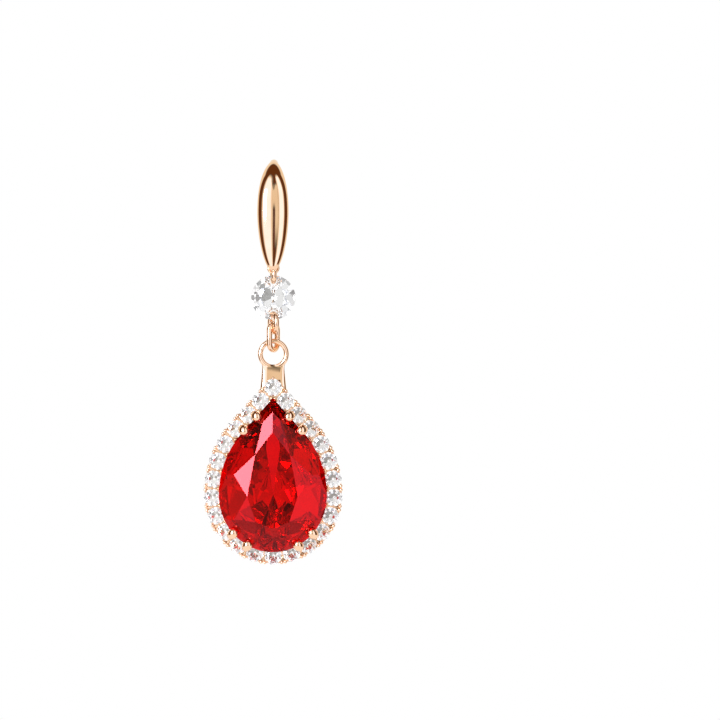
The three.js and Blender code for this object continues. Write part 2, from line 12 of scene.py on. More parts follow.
import bmesh
import bpy
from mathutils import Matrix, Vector


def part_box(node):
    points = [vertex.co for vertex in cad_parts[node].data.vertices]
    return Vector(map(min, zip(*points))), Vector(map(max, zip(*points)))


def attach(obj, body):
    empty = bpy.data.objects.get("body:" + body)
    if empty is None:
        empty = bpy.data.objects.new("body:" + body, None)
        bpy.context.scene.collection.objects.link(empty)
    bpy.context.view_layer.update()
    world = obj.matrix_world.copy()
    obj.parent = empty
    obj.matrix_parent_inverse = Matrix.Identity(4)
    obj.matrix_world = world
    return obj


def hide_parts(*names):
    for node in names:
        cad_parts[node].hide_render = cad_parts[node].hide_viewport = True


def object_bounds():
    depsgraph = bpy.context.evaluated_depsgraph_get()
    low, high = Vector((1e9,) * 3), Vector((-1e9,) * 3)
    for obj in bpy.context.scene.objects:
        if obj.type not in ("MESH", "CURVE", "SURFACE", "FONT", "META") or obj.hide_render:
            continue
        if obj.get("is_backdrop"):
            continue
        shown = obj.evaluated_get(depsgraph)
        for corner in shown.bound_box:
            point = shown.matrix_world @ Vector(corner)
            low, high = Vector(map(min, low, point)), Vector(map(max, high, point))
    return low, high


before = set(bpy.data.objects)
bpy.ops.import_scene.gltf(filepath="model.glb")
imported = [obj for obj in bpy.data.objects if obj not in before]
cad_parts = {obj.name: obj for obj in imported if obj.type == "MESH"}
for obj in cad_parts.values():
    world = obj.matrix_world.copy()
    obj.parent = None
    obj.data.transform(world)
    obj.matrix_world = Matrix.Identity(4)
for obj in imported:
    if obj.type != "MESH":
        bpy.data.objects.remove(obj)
cad_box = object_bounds()
MM = 0.001
low, high = cad_box
print("earring size in mm:", [round((b - a) / MM, 2) for a, b in zip(low, high)])

# %% [markdown]
# The photograph is a flat catalogue picture: the camera looks straight at the front, level with the piece,
# from far away, and the earring hangs left of the middle. A long lens keeps the sides parallel, as there.
# One pixel of the picture is 0.092 mm on the earring.

# %% Camera at the photograph's angle
PIXEL = 0.092 * MM
FRAME_PIXELS = 720
MIDDLE_X, MIDDLE_Z = 8.05 * MM, -17.97 * MM
LENS, SENSOR = 150, 36

camera_data = bpy.data.cameras.new("catalogue_camera")
camera = bpy.data.objects.new("catalogue_camera", camera_data)
bpy.context.collection.objects.link(camera)
camera_data.lens = LENS
camera_data.sensor_width = SENSOR
stone_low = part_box("pear_stone")[0]
camera_distance = PIXEL * FRAME_PIXELS * LENS / SENSOR
camera.location = (MIDDLE_X, stone_low[1] - camera_distance, MIDDLE_Z)
camera.rotation_euler = (math.radians(90), 0, 0)
camera_data.clip_start, camera_data.clip_end = 0.01, 10
bpy.context.scene.camera = camera
print("camera distance in mm:", round(camera_distance / MM, 1))

# %% [markdown]
# Polished gold has no look of its own: it shows the room. A jewellery photographer hangs white paper on
# both sides, leaves a narrow dark gap for the camera, and keeps the far sides dark, so that each edge gets
# a brown line. The same papers are drawn here on the world by direction, so nothing needs to be modelled.
# Angles are in degrees: azimuth 0 is the camera, minus is to its left, and 180 is behind the earring.
# A flag is black card: it takes light away, and may widen upwards from its foot. One narrow bright strip is
# there for the red stone. Only two of its flat facets mirror it, and they turn pink.

# %% Papers and flags
CARD_VALUES = ("name", "azimuth", "height", "half_width", "half_height", "edge")
PAPERS = [
    (("left paper", -30, 14, 36, 64, 20), {"light": 1.42}),
    (("right paper", 41, 14, 25, 64, 16), {"light": 1.45}),
    (("filler between", 8, 18, 24, 34, 14), {"light": 0.88}),
    (("bright strip", -37.5, 14, 6.5, 16, 2), {"light": 24}),
    (("backdrop", 180, 4, 82, 54, 12), {"light": 0.95}),
]
FLAGS = [
    (("camera gap", 3.5, -22, 6.5, 27, 3), {"opening": 0, "left": 0.08}),
    (("boom above the camera", 3, 60, 3, 36, 7), {"opening": 0.55, "left": 0.35}),
]
PAPERS, FLAGS = [[dict(zip(CARD_VALUES, row), **more) for row, more in cards] for cards in (PAPERS, FLAGS)]
CORE_FROM, CORE_SPAN = 0.95, 0.4
ROOM_DARK = (0.13, 0.045, 0.013)
WARM_EDGE = (1.0, 0.95, 0.82)
COOL_CORE = (0.93, 1.0, 1.25)
STONE_FILL = 0.32

world = bpy.data.worlds.new("studio")
bpy.context.scene.world = world
world.use_nodes = True
sky = world.node_tree
sky.nodes.clear()


def math_node(tree, operation, first, second=None, clamp=False):
    made = tree.nodes.new("ShaderNodeMath")
    made.operation = operation
    made.use_clamp = clamp
    for slot, value in enumerate((first, second)):
        if value is None:
            continue
        if isinstance(value, (int, float)):
            made.inputs[slot].default_value = value
        else:
            tree.links.new(value, made.inputs[slot])
    return made.outputs[0]


def soft_step(tree, inside, edge):
    """1 well inside, 0 outside, soft over the edge."""
    ramp = math_node(tree, "DIVIDE", inside, edge, clamp=True)
    squared = math_node(tree, "MULTIPLY", ramp, ramp)
    rest = math_node(tree, "SUBTRACT", 3, math_node(tree, "MULTIPLY", ramp, 2))
    return math_node(tree, "MULTIPLY", squared, rest)


way = sky.nodes.new("ShaderNodeTexCoord")
parts = sky.nodes.new("ShaderNodeSeparateXYZ")
sky.links.new(way.outputs["Generated"], parts.inputs[0])
azimuth = math_node(sky, "ARCTAN2", parts.outputs[0], math_node(sky, "MULTIPLY", parts.outputs[1], -1))
azimuth = math_node(sky, "DEGREES", azimuth)
height = math_node(sky, "DEGREES", math_node(sky, "ARCSINE", parts.outputs[2]))


def card(one):
    """1 on a card, 0 off it."""
    off = math_node(sky, "ABSOLUTE", math_node(sky, "SUBTRACT", azimuth, one["azimuth"]))
    off = math_node(sky, "MINIMUM", off, math_node(sky, "SUBTRACT", 360, off))
    half_width = one["half_width"]
    if one.get("opening"):
        foot = one["height"] - one["half_height"]
        above = math_node(sky, "MAXIMUM", math_node(sky, "SUBTRACT", height, foot), 0)
        half_width = math_node(sky, "ADD", math_node(sky, "MULTIPLY", above, one["opening"]), half_width)
    across = soft_step(sky, math_node(sky, "SUBTRACT", half_width, off), one["edge"])
    off = math_node(sky, "ABSOLUTE", math_node(sky, "SUBTRACT", height, one["height"]))
    upright = soft_step(sky, math_node(sky, "SUBTRACT", one["half_height"], off), one["edge"])
    return math_node(sky, "MULTIPLY", across, upright)


light = 0.0
for paper in PAPERS:
    light = math_node(sky, "MAXIMUM", light, math_node(sky, "MULTIPLY", card(paper), paper["light"]))
for flag in FLAGS:
    taken = math_node(sky, "MULTIPLY", card(flag), 1 - flag["left"])
    light = math_node(sky, "MULTIPLY", light, math_node(sky, "SUBTRACT", 1, taken))

# %% [markdown]
# A paper is cool white where the flash hits it and warm towards its edges, so a highlight on gold turns
# cream and not yellow. The dark parts of the room are brown, so that gold keeps warm shadows. Rays that come
# out of a stone see the papers plain white, with a little more fill, as from the small reflectors that are
# set round a stone. The camera sees the white page of the catalogue, which also lights the floor evenly.

# %% World output
seen = sky.nodes.new("ShaderNodeLightPath")
fill = sky.nodes.new("ShaderNodeMix")
fill.data_type = "RGBA"
sky.links.new(seen.outputs["Is Transmission Ray"], fill.inputs["Factor"])
fill.inputs["A"].default_value = (*ROOM_DARK, 1)
fill.inputs["B"].default_value = (STONE_FILL, STONE_FILL, STONE_FILL, 1)
core = math_node(sky, "DIVIDE", math_node(sky, "SUBTRACT", light, CORE_FROM), CORE_SPAN, clamp=True)
plain = seen.outputs["Is Transmission Ray"]
lit = sky.nodes.new("ShaderNodeCombineColor")
for channel in range(3):
    tint = math_node(sky, "MULTIPLY", core, COOL_CORE[channel] - WARM_EDGE[channel])
    tint = math_node(sky, "ADD", tint, WARM_EDGE[channel] - 1)
    tint = math_node(sky, "MULTIPLY", tint, math_node(sky, "SUBTRACT", 1, plain))
    sky.links.new(math_node(sky, "MULTIPLY", light, math_node(sky, "ADD", tint, 1)), lit.inputs[channel])
brightest = sky.nodes.new("ShaderNodeMix")
brightest.data_type = "RGBA"
brightest.blend_type = "LIGHTEN"
brightest.inputs["Factor"].default_value = 1
sky.links.new(fill.outputs["Result"], brightest.inputs["A"])
sky.links.new(lit.outputs[0], brightest.inputs["B"])
room = sky.nodes.new("ShaderNodeBackground")
sky.links.new(brightest.outputs["Result"], room.inputs["Color"])
page = sky.nodes.new("ShaderNodeBackground")
page.inputs["Color"].default_value = (1, 1, 1, 1)
choose = sky.nodes.new("ShaderNodeMixShader")
evenly = math_node(sky, "MAXIMUM", seen.outputs["Is Camera Ray"], seen.outputs["Is Diffuse Ray"])
sky.links.new(evenly, choose.inputs[0])
sky.links.new(room.outputs[0], choose.inputs[1])
sky.links.new(page.outputs[0], choose.inputs[2])
sky_out = sky.nodes.new("ShaderNodeOutputWorld")
sky.links.new(choose.outputs[0], sky_out.inputs[0])
print("papers on the world:", [paper["name"] for paper in PAPERS])

# %% [markdown]
# Light has to pass many facets inside a cut stone before it comes out, so the bounces are raised. The
# Standard view keeps white paper white.

# %% Bounces and view
settings = bpy.context.scene.cycles
settings.max_bounces = 24
settings.transmission_bounces = 24
settings.glossy_bounces = 12
bpy.context.scene.view_settings.view_transform = "Standard"

# %% [markdown]
# Every metal piece below starts as a primitive at its place and is shaped in edit mode. These helpers do
# what the hand does each time: select one object alone, enter edit mode, and select parts by their place.
# The earring is tiny, and Blender's cuts and merges suit objects some metres across. So the pieces are
# modelled with one unit for a millimetre, and each is brought to metres when it is finished.

# %% Helpers for modelling
@contextlib.contextmanager
def editing(piece):
    alone(piece)
    bpy.ops.object.mode_set(mode="EDIT")
    yield
    bpy.ops.object.mode_set(mode="OBJECT")


def alone(piece):
    bpy.ops.object.select_all(action="DESELECT")
    piece.select_set(True)
    bpy.context.view_layer.objects.active = piece


def begin(name, add, **where):
    bpy.ops.object.select_all(action="DESELECT")
    add(**where)
    piece = bpy.context.object
    piece.name = piece.data.name = name
    return piece


def pick(piece, test, of="verts"):
    """Selects only the vertices, edges or faces that pass the test."""
    bpy.ops.mesh.select_mode(type={"verts": "VERT", "edges": "EDGE", "faces": "FACE"}[of])
    bpy.ops.mesh.select_all(action="DESELECT")
    shape = bmesh.from_edit_mesh(piece.data)
    for part in getattr(shape, of):
        if test(part):
            part.select_set(True)
    shape.select_flush(True)
    bmesh.update_edit_mesh(piece.data)


def apply_all(piece):
    """Applies the modifiers, and moves the place and turn into the mesh."""
    alone(piece)
    for modifier in list(piece.modifiers):
        bpy.ops.object.modifier_apply(modifier=modifier.name)
    bpy.ops.object.transform_apply(location=True, rotation=True, scale=True)


def face_outwards():
    bpy.ops.mesh.select_all(action="SELECT")
    bpy.ops.mesh.normals_make_consistent(inside=False)


def join(name, parts):
    alone(parts[0])
    for part in parts:
        part.select_set(True)
    bpy.ops.object.join()
    whole = bpy.context.object
    whole.name = whole.data.name = name
    return whole


def cut(piece, tool, operation="DIFFERENCE"):
    modifier = piece.modifiers.new("cut", "BOOLEAN")
    modifier.object = tool
    modifier.operation = operation
    modifier.solver = "MANIFOLD"
    alone(piece)
    bpy.ops.object.modifier_apply(modifier=modifier.name)
    bpy.data.objects.remove(tool, do_unlink=True)


def finish_metal(piece, body, nodes, sharp=40):
    size = [round(side, 2) for side in piece.dimensions]
    piece.scale = (MM, MM, MM)
    apply_all(piece)
    bpy.ops.object.shade_smooth_by_angle(angle=math.radians(sharp))
    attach(piece, body)
    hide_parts(*nodes)
    metal_pieces.append(piece)
    print(piece.name, "faces:", len(piece.data.polygons), "size in mm:", size)


metal_pieces = []

# %% [markdown]
# A wire that bends in one plane, such as the ear wire or a claw, can be pulled from its first ring: extrude
# the ring, move it to the next place on the path, turn it, and scale its outer and inner half for the
# section there. The path lies in a plane across X, so a scale of Y and Z together keeps each ring flat.

# %% A wire pulled row by row
def outward(turn):
    """The side of the wire away from the bend, at a turn of the path in degrees."""
    return Vector((0, math.cos(math.radians(turn)), math.sin(math.radians(turn))))


def pull_wire(name, rows, sides=24):
    """rows: dicts of y, z, turn, half_width, outer and inner, in mm. Both ends close."""
    first = rows[0]
    wire = begin(name, bpy.ops.mesh.primitive_circle_add, vertices=sides, radius=1)
    with editing(wire):
        bpy.ops.mesh.select_all(action="SELECT")
        now = {"y": 0, "z": 0, "turn": 0, "half_width": 1, "outer": 1, "inner": 1}
        for number, row in enumerate(rows):
            step = Vector((0, row["y"] - now["y"], row["z"] - now["z"]))
            centre = Vector((0, row["y"], row["z"]))
            if number == 0:
                bpy.ops.transform.translate(value=step)
            else:
                bpy.ops.mesh.extrude_region_move(TRANSFORM_OT_translate={"value": step})
            if row["turn"] != now["turn"]:
                bpy.ops.transform.rotate(value=math.radians(now["turn"] - row["turn"]), orient_axis="X",
                                         center_override=centre)
            shape = bmesh.from_edit_mesh(wire.data)
            shape.verts.ensure_lookup_table()
            for half, side in (("outer", 1), ("inner", -1)):
                if row[half] == now[half]:
                    continue
                ring = shape.verts[-sides:]
                bpy.ops.mesh.select_all(action="DESELECT")
                for vertex in ring:
                    away = (vertex.co - centre).dot(outward(row["turn"])) * side
                    vertex.select_set(away > 1e-4)
                shape.select_flush(True)
                bmesh.update_edit_mesh(wire.data)
                grow = row[half] / now[half]
                bpy.ops.transform.resize(value=(1, grow, grow), center_override=centre)
                shape = bmesh.from_edit_mesh(wire.data)
                shape.verts.ensure_lookup_table()
            bpy.ops.mesh.select_all(action="DESELECT")
            for vertex in shape.verts[-sides:]:
                vertex.select_set(True)
            shape.select_flush(True)
            bmesh.update_edit_mesh(wire.data)
            wider = row["half_width"] / now["half_width"]
            bpy.ops.transform.resize(value=(wider, 1, 1), center_override=centre)
            now = row
        bpy.ops.mesh.extrude_region_move()
        bpy.ops.mesh.merge(type="CENTER")
        start = outward(first["turn"] + 90)
        low_centre = Vector((0, first["y"], first["z"]))
        pick(wire, lambda v: abs((v.co - low_centre).dot(start)) < 1e-3 and (v.co - low_centre).length < 2)
        bpy.ops.mesh.extrude_region_move()
        bpy.ops.mesh.merge(type="CENTER")
        face_outwards()
    return wire


def smooth_over(piece, levels):
    modifier = piece.modifiers.new("smooth", "SUBSURF")
    modifier.levels = modifier.render_levels = levels
    apply_all(piece)


# %% [markdown]
# The ear wire is one rod: a tail behind the ear, an arch through it, and a front that was hammered out to a
# long domed leaf. The leaf is widest a little above its middle and comes to a fine point. A small eye is
# soldered behind the point, and the first jump ring hangs in it.

# %% Ear wire
WIRE_R = 0.4
ARCH_R = 3.4
LEAF_HALF_W = 1.47
LEAF_CROWN = 0.8
LEAF_BACK = 0.3
LEAF_LEAN = 0.25
LEAF_WIDEST_DOWN = 5.15
TIP_HALF_W = 0.1
TAIL_BACK = 0.7
TAIL_ROUND = 0.95

hook_low = Vector(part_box("ear_hook")[0]) / MM
ARCH_Z = WIRE_R - ARCH_R
arch_top = 2 * WIRE_R
leaf_tip = arch_top - 10.6
tail_end = hook_low.z + 1.0
leaf_widest = arch_top - LEAF_WIDEST_DOWN


def leaf_half_width(height):
    if height > leaf_widest:
        share = min(1, (height - leaf_widest) / LEAF_WIDEST_DOWN)
        return LEAF_HALF_W * math.sqrt(1 - share * share)
    share = min(1, (leaf_widest - height) / (leaf_widest - leaf_tip))
    return LEAF_HALF_W * (1 - share ** 1.8) ** 0.55


def wire_row(y, z, turn, share=1.0):
    r = WIRE_R * share
    return {"y": y, "z": z, "turn": turn, "half_width": r, "outer": r, "inner": r}


def leaf_row(y, z, turn, seen):
    floor = WIRE_R if z > ARCH_Z else TIP_HALF_W
    half = max(floor, leaf_half_width(seen))
    opened = min(1, max(0, (half - WIRE_R) / (LEAF_HALF_W - WIRE_R)))
    thin = min(half, WIRE_R)
    outer = thin + (LEAF_CROWN - WIRE_R) * opened
    inner = thin + (LEAF_BACK - WIRE_R) * math.sqrt(opened)
    return {"y": y, "z": z, "turn": turn, "half_width": half, "outer": outer, "inner": inner}


rows = []
for angle in (70, 45, 22):
    down = WIRE_R * TAIL_ROUND * math.sin(math.radians(angle))
    rows.append(wire_row(ARCH_R + TAIL_BACK, tail_end - down, 0, math.cos(math.radians(angle))))
TAIL_ROWS = 10
for i in range(TAIL_ROWS):
    left = 1 - i / TAIL_ROWS
    rows.append(wire_row(ARCH_R + TAIL_BACK * left ** 2, ARCH_Z + (tail_end - ARCH_Z) * left, 0))
ARCH_ROWS = 36
for i in range(ARCH_ROWS + 1):
    turn = 180 * i / ARCH_ROWS
    place = outward(turn) * ARCH_R + Vector((0, 0, ARCH_Z))
    if turn <= 90:
        rows.append(wire_row(place.y, place.z, turn))
    else:
        rows.append(leaf_row(place.y, place.z, turn, place.z + WIRE_R * outward(turn).z))
LEAF_ROWS = 26
for i in range(1, LEAF_ROWS + 1):
    share = math.sin(math.radians(90 * i / (LEAF_ROWS + 0.6)))
    z = ARCH_Z + (leaf_tip - ARCH_Z) * share
    rows.append(leaf_row(-ARCH_R + LEAF_LEAN * share * share, z, 180, z))

ear_wire = pull_wire("ear_wire", rows)
smooth_over(ear_wire, 2)

# %% The eye behind the leaf's point
EYE_R = 0.46
EYE_WALL = 0.24
EYE_THICK = 0.3
EYE_ABOVE_TIP = 0.38
STEM_R = 0.2
RING_WIRE_R = 0.25
HANG_Y = -2.03
eye_z = leaf_tip + EYE_ABOVE_TIP
eye = begin("eye", bpy.ops.mesh.primitive_torus_add, major_radius=EYE_R, minor_radius=EYE_WALL / 2,
            major_segments=64, minor_segments=20, location=Vector((0, HANG_Y, eye_z)),
            rotation=(math.radians(90), 0, 0))
with editing(eye):
    bpy.ops.mesh.select_all(action="SELECT")
    bpy.ops.transform.resize(value=(1, EYE_THICK / EYE_WALL, 1), center_override=Vector((0, HANG_Y, eye_z)))
apply_all(eye)


def rod(name, start, end, radius, sides=24):
    """A rod between two points in mm, with its ends rounded over."""
    span = (end - start)
    aim = span.to_track_quat("Z", "Y").to_euler()
    piece = begin(name, bpy.ops.mesh.primitive_cylinder_add, vertices=sides, radius=radius,
                  depth=span.length, location=(start + end) / 2, rotation=aim)
    with editing(piece):
        pick(piece, lambda face: len(face.verts) == sides, of="faces")
        bpy.ops.mesh.bevel(offset=0.6 * radius, segments=4)
    apply_all(piece)
    return piece


stem_z = eye_z + EYE_R + 1.5 * STEM_R
stem = rod("stem", Vector((0, -ARCH_R + LEAF_LEAN, stem_z)), Vector((0, HANG_Y, eye_z + EYE_R)), STEM_R)
cut(ear_wire, stem, "UNION")
cut(ear_wire, eye, "UNION")
finish_metal(ear_wire, "hanger", ["ear_hook"])

# %% [markdown]
# A jump ring is a turn of round wire, cut, closed and soldered. The joint leaves a hair line across the
# wire. Both rings are a torus with that line pressed in at the back, and the oval link is a torus that was
# pulled long.

# %% Jump rings and oval link
SEAM_HALF_W = 0.012
SEAM_PRESS = 0.965


def wire_ring(name, radius, wire_r, height, turn, straight=0.0):
    middle = Vector((0, HANG_Y, height))
    ring = begin(name, bpy.ops.mesh.primitive_torus_add, major_radius=radius, minor_radius=wire_r,
                 major_segments=96, minor_segments=28, location=(0, 0, 0))
    with editing(ring):
        pick(ring, lambda v: v.co.y > 1e-3)
        bpy.ops.transform.translate(value=(0, straight / 2, 0))
        pick(ring, lambda v: v.co.y < -1e-3)
        bpy.ops.transform.translate(value=(0, -straight / 2, 0))
        joint = Vector((1, 0, 0)) * radius
        pick(ring, lambda e: all(abs(v.co.y) < 1e-3 and v.co.x > 0 for v in e.verts), of="edges")
        bpy.ops.mesh.bevel(offset=SEAM_HALF_W, segments=2)
        pick(ring, lambda v: abs(v.co.y) < 1e-3 and v.co.x > 0)
        bpy.ops.transform.resize(value=(SEAM_PRESS, 1, SEAM_PRESS), center_override=joint)
    ring.rotation_euler = (math.radians(90), 0, math.radians(90 + turn))
    ring.location = middle
    apply_all(ring)
    return ring


UPPER_RING_R = 0.62
LOWER_RING_R = 0.84
UPPER_RING_TURN = 8
LOWER_RING_TURN = 22
LINK_TURN = -33
LINK_HALF_W = 0.64
LINK_WIRE_R = 0.26


def middle_z(node):
    node_low, node_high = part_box(node)
    return (node_low[2] + node_high[2]) / 2 / MM


upper_ring = wire_ring("upper_jump_ring", UPPER_RING_R, RING_WIRE_R, middle_z("upper_ring"), UPPER_RING_TURN)
lower_ring = wire_ring("lower_jump_ring", LOWER_RING_R, RING_WIRE_R, middle_z("lower_ring"), LOWER_RING_TURN)
link_low, link_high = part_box("oval_link")
link_straight = (link_high[2] - link_low[2]) / MM - 2 * (LINK_HALF_W + LINK_WIRE_R)
link = wire_ring("link_wire", LINK_HALF_W, LINK_WIRE_R, middle_z("oval_link"), LINK_TURN, link_straight)
finish_metal(upper_ring, "hanger", ["upper_ring"])
finish_metal(lower_ring, "hanger", ["lower_ring"])
finish_metal(link, "hanger", ["oval_link"])

# %% [markdown]
# The halo drop is one casting. Its rim follows a pear: half an ellipse below the widest level, an arc up
# each shoulder, and a straight run to the point. Spinning a small section about each arc's own centre makes
# that rim with true parallel edges, and a mirror makes the other half.

# %% The pear path of the rim
PEAR_HALF_W = 5.0
PEAR_LOWER = 5.3
PEAR_UPPER = 8.95
PEAR_SHOULDER_R = 8.74
HALO = {"half_w": PEAR_HALF_W + 0.64, "lower": PEAR_LOWER + 0.39, "upper": PEAR_UPPER + 0.96,
        "shoulder_r": PEAR_SHOULDER_R + 0.92}
PEAR = {"half_w": PEAR_HALF_W, "lower": PEAR_LOWER, "upper": PEAR_UPPER, "shoulder_r": PEAR_SHOULDER_R}
RAIL = {key: 0.6 * size for key, size in PEAR.items()}
GIRDLE_Z = stone_low[2] / MM + PEAR_LOWER
PLATE_T = 1.1
PLATE_Y = HANG_Y - PLATE_T / 2
print("widest level in mm:", round(GIRDLE_Z, 2), "rim face in mm:", round(PLATE_Y, 2))


def shoulder_turn(line):
    """How far the shoulder arc turns before the straight run to the point leaves it, in radians."""
    low_turn, high_turn = 0.0, math.pi / 2
    for _ in range(50):
        turn = (low_turn + high_turn) / 2
        x = line["half_w"] - line["shoulder_r"] * (1 - math.cos(turn))
        reach = line["shoulder_r"] * math.sin(turn) + x / math.tan(turn)
        if x > 0 and reach > line["upper"]:
            low_turn = turn
        else:
            high_turn = turn
    return turn


def half_line(line, fine=300):
    """Points down the right half, from the point to the bottom, as (x, z) in mm about the widest level."""
    turn = shoulder_turn(line)
    arc = [(line["half_w"] - line["shoulder_r"] * (1 - math.cos(a)), line["shoulder_r"] * math.sin(a))
           for a in (turn * (1 - i / fine) for i in range(fine))]
    arc_x, arc_z = arc[0]
    run = [(arc_x * i / fine, line["upper"] + (arc_z - line["upper"]) * i / fine) for i in range(fine)]
    lower = [(line["half_w"] * math.cos(a), -line["lower"] * math.sin(a))
             for a in (math.pi / 2 * i / fine for i in range(fine + 1))]
    return [Vector((x, 0, z)) for x, z in run + arc + lower]


def place_on(line, share):
    """The place and the outward direction at a share of the way round, clockwise from the point."""
    share %= 1
    points = half_line(line)
    lengths = [0.0]
    for a, b in zip(points, points[1:]):
        lengths.append(lengths[-1] + (b - a).length)
    aim = (1 - share if share > 0.5 else share) * 2 * lengths[-1]
    number = max(1, next(i for i, length in enumerate(lengths) if length >= aim - 1e-9))
    part = (aim - lengths[number - 1]) / (lengths[number] - lengths[number - 1])
    at = points[number - 1].lerp(points[number], part)
    along = (points[number] - points[number - 1]).normalized()
    out = Vector((-along.z, 0, along.x))
    if share < 1e-9:
        out = Vector((0, 0, 1))
    if abs(share - 0.5) < 1e-9:
        out = Vector((0, 0, -1))
    if share > 0.5:
        at.x, out.x = -at.x, -out.x
    return at, out


def sweep_pear(section, line, arc_steps, lower_steps):
    """Takes a flat section, standing at the widest level, round the whole pear line."""
    turn = shoulder_turn(line)
    with editing(section):
        bpy.ops.mesh.select_all(action="SELECT")
        bpy.ops.mesh.spin(steps=lower_steps, angle=-math.pi / 2, center=(0, 0, 0), axis=(0, 1, 0))
        pick(section, lambda v: v.co.z < -1e-3)
        bpy.ops.transform.resize(value=(1, 1, line["lower"] / line["half_w"]), center_override=(0, 0, 0))
        pick(section, lambda v: abs(v.co.z) < 1e-3)
        centre = Vector((line["half_w"] - line["shoulder_r"], 0, 0))
        bpy.ops.mesh.spin(steps=arc_steps, angle=turn, center=centre, axis=(0, 1, 0))
        run = Vector((-math.sin(turn), 0, math.cos(turn)))
        left = (line["half_w"] - line["shoulder_r"] * (1 - math.cos(turn))) / math.sin(turn)
        bpy.ops.mesh.extrude_region_move(TRANSFORM_OT_translate={"value": run * (left + 3)})
        bpy.ops.mesh.select_all(action="SELECT")
        bpy.ops.mesh.bisect(plane_co=(0, 0, 0), plane_no=(1, 0, 0), clear_inner=True, threshold=1e-4)
    modifier = section.modifiers.new("other half", "MIRROR")
    modifier.use_clip = True
    modifier.merge_threshold = 2e-3
    apply_all(section)
    with editing(section):
        bpy.ops.mesh.select_all(action="SELECT")
        bpy.ops.mesh.remove_doubles(threshold=1e-3)
        bpy.ops.mesh.normals_make_consistent(inside=False)
    return section


# %% Rim with bevelled edges
HALO_COUNT = 24
STONE_GAP = 0.1
half_points = half_line(HALO)
halo_length = 2 * sum((b - a).length for a, b in zip(half_points, half_points[1:]))
halo_stone_r = (halo_length / HALO_COUNT - STONE_GAP) / 2
PLATE_LIP = 0.1
PLATE_EDGE = halo_stone_r - PLATE_LIP
EDGE_ROUND = 0.08

rim = begin("rim", bpy.ops.mesh.primitive_plane_add, size=1, location=(0, 0, 0))
with editing(rim):
    bpy.ops.mesh.select_all(action="SELECT")
    bpy.ops.transform.resize(value=(2 * PLATE_EDGE, PLATE_T, 1), center_override=(0, 0, 0))
    bpy.ops.transform.translate(value=Vector((HALO["half_w"], PLATE_T / 2, 0)))
    bpy.ops.mesh.bevel(offset=EDGE_ROUND, segments=4, affect="VERTICES")
    bpy.ops.mesh.delete(type="ONLY_FACE")
sweep_pear(rim, HALO, 28, 44)
print("rim in mm:", [round(side, 2) for side in rim.dimensions])

# %% [markdown]
# Each small stone sits in a drilled seat: a wide shallow well in front for its edge, a narrower hole right
# through for its point, and a cone at the back that lets light in. One drill shape is made, copied to every
# place, and cut out of the rim.

# %% Drilled seats
SEAT_CLEAR = 0.05
SEAT_LEDGE = 0.17
WELL_FLOOR = -0.01
SEAT_SIDES = 40


def drill_bit():
    bit = begin("drill", bpy.ops.mesh.primitive_circle_add, vertices=SEAT_SIDES, radius=1,
                fill_type="NGON", rotation=(math.radians(90), 0, 0))
    apply_all(bit)
    well = halo_stone_r + SEAT_CLEAR
    hole = halo_stone_r - SEAT_LEDGE
    steps = [(-1.0, well), (WELL_FLOOR, well), (0.30, hole), (0.72, hole), (PLATE_T + 0.1, hole + 0.16)]
    with editing(bit):
        bpy.ops.mesh.select_all(action="SELECT")
        y, r = steps[0]
        bpy.ops.transform.resize(value=(r, 1, r), center_override=(0, 0, 0))
        bpy.ops.transform.translate(value=(0, y, 0))
        for next_y, next_r in steps[1:]:
            bpy.ops.mesh.extrude_region_move(TRANSFORM_OT_translate={"value": (0, (next_y - y), 0)})
            grow = next_r / r
            bpy.ops.transform.resize(value=(grow, 1, grow), center_override=(0, next_y, 0))
            y, r = next_y, next_r
        face_outwards()
    return bit


def copies_at(piece, places):
    """Copies, each with its own mesh, turned about Y to the outward direction and moved to the place."""
    made = []
    for at, out in places:
        alone(piece)
        bpy.ops.object.duplicate()
        copy = bpy.context.object
        copy.rotation_euler = (0, math.atan2(out.x, out.z), 0)
        copy.location = at
        apply_all(copy)
        made.append(copy)
    bpy.data.objects.remove(piece, do_unlink=True)
    return made


stone_places = [place_on(HALO, i / HALO_COUNT) for i in range(HALO_COUNT)]
junctions = [place_on(HALO, (i + 0.5) / HALO_COUNT) for i in range(HALO_COUNT)]
cut(rim, join("drills", copies_at(drill_bit(), stone_places)))

# %% [markdown]
# The rim's front face and the seats under the small stones get a slot of their own with white satin metal: a
# painted highlight, gold drawn as if the light had blown it to white.
# The outer and inner edges stay gold.

# %% Front face and seats painted white as a highlight
gold = bpy.data.materials.new("polished_rose_gold")
white = bpy.data.materials.new("white_plated_seats")
rim.data.materials.append(gold)
rim.data.materials.append(white)


# Picks the rim's front face and the seats: the faces that are painted white metal as a highlight.
def in_painted_highlight(face):
    centre = face.calc_center_median()
    if centre.y < 0.05:
        return face.normal.y < -0.5
    return any(math.hypot(centre.x - at.x, centre.z - at.z) < halo_stone_r for at, _ in stone_places)


with editing(rim):
    pick(rim, in_painted_highlight, of="faces")
    rim.active_material_index = 1
    bpy.ops.object.material_slot_assign()
faces = rim.data.polygons
print("white faces:", sum(face.material_index == 1 for face in faces), "of", len(faces))

# %% [markdown]
# Between two neighbouring stones stands a thin wall. On the outer edge it carries two small round prongs
# with a cut between them, one for each stone, and a single bead on the inner edge. One set is modelled with
# the outward direction up, and copied to all the junctions.

# %% Prongs, beads and walls
PRONG_R = 0.155
PRONG_APART = 0.36
PRONG_TIP = 0.44
BEAD_R = 0.13
WALL_T = 0.07
WALL_RISE = 0.26


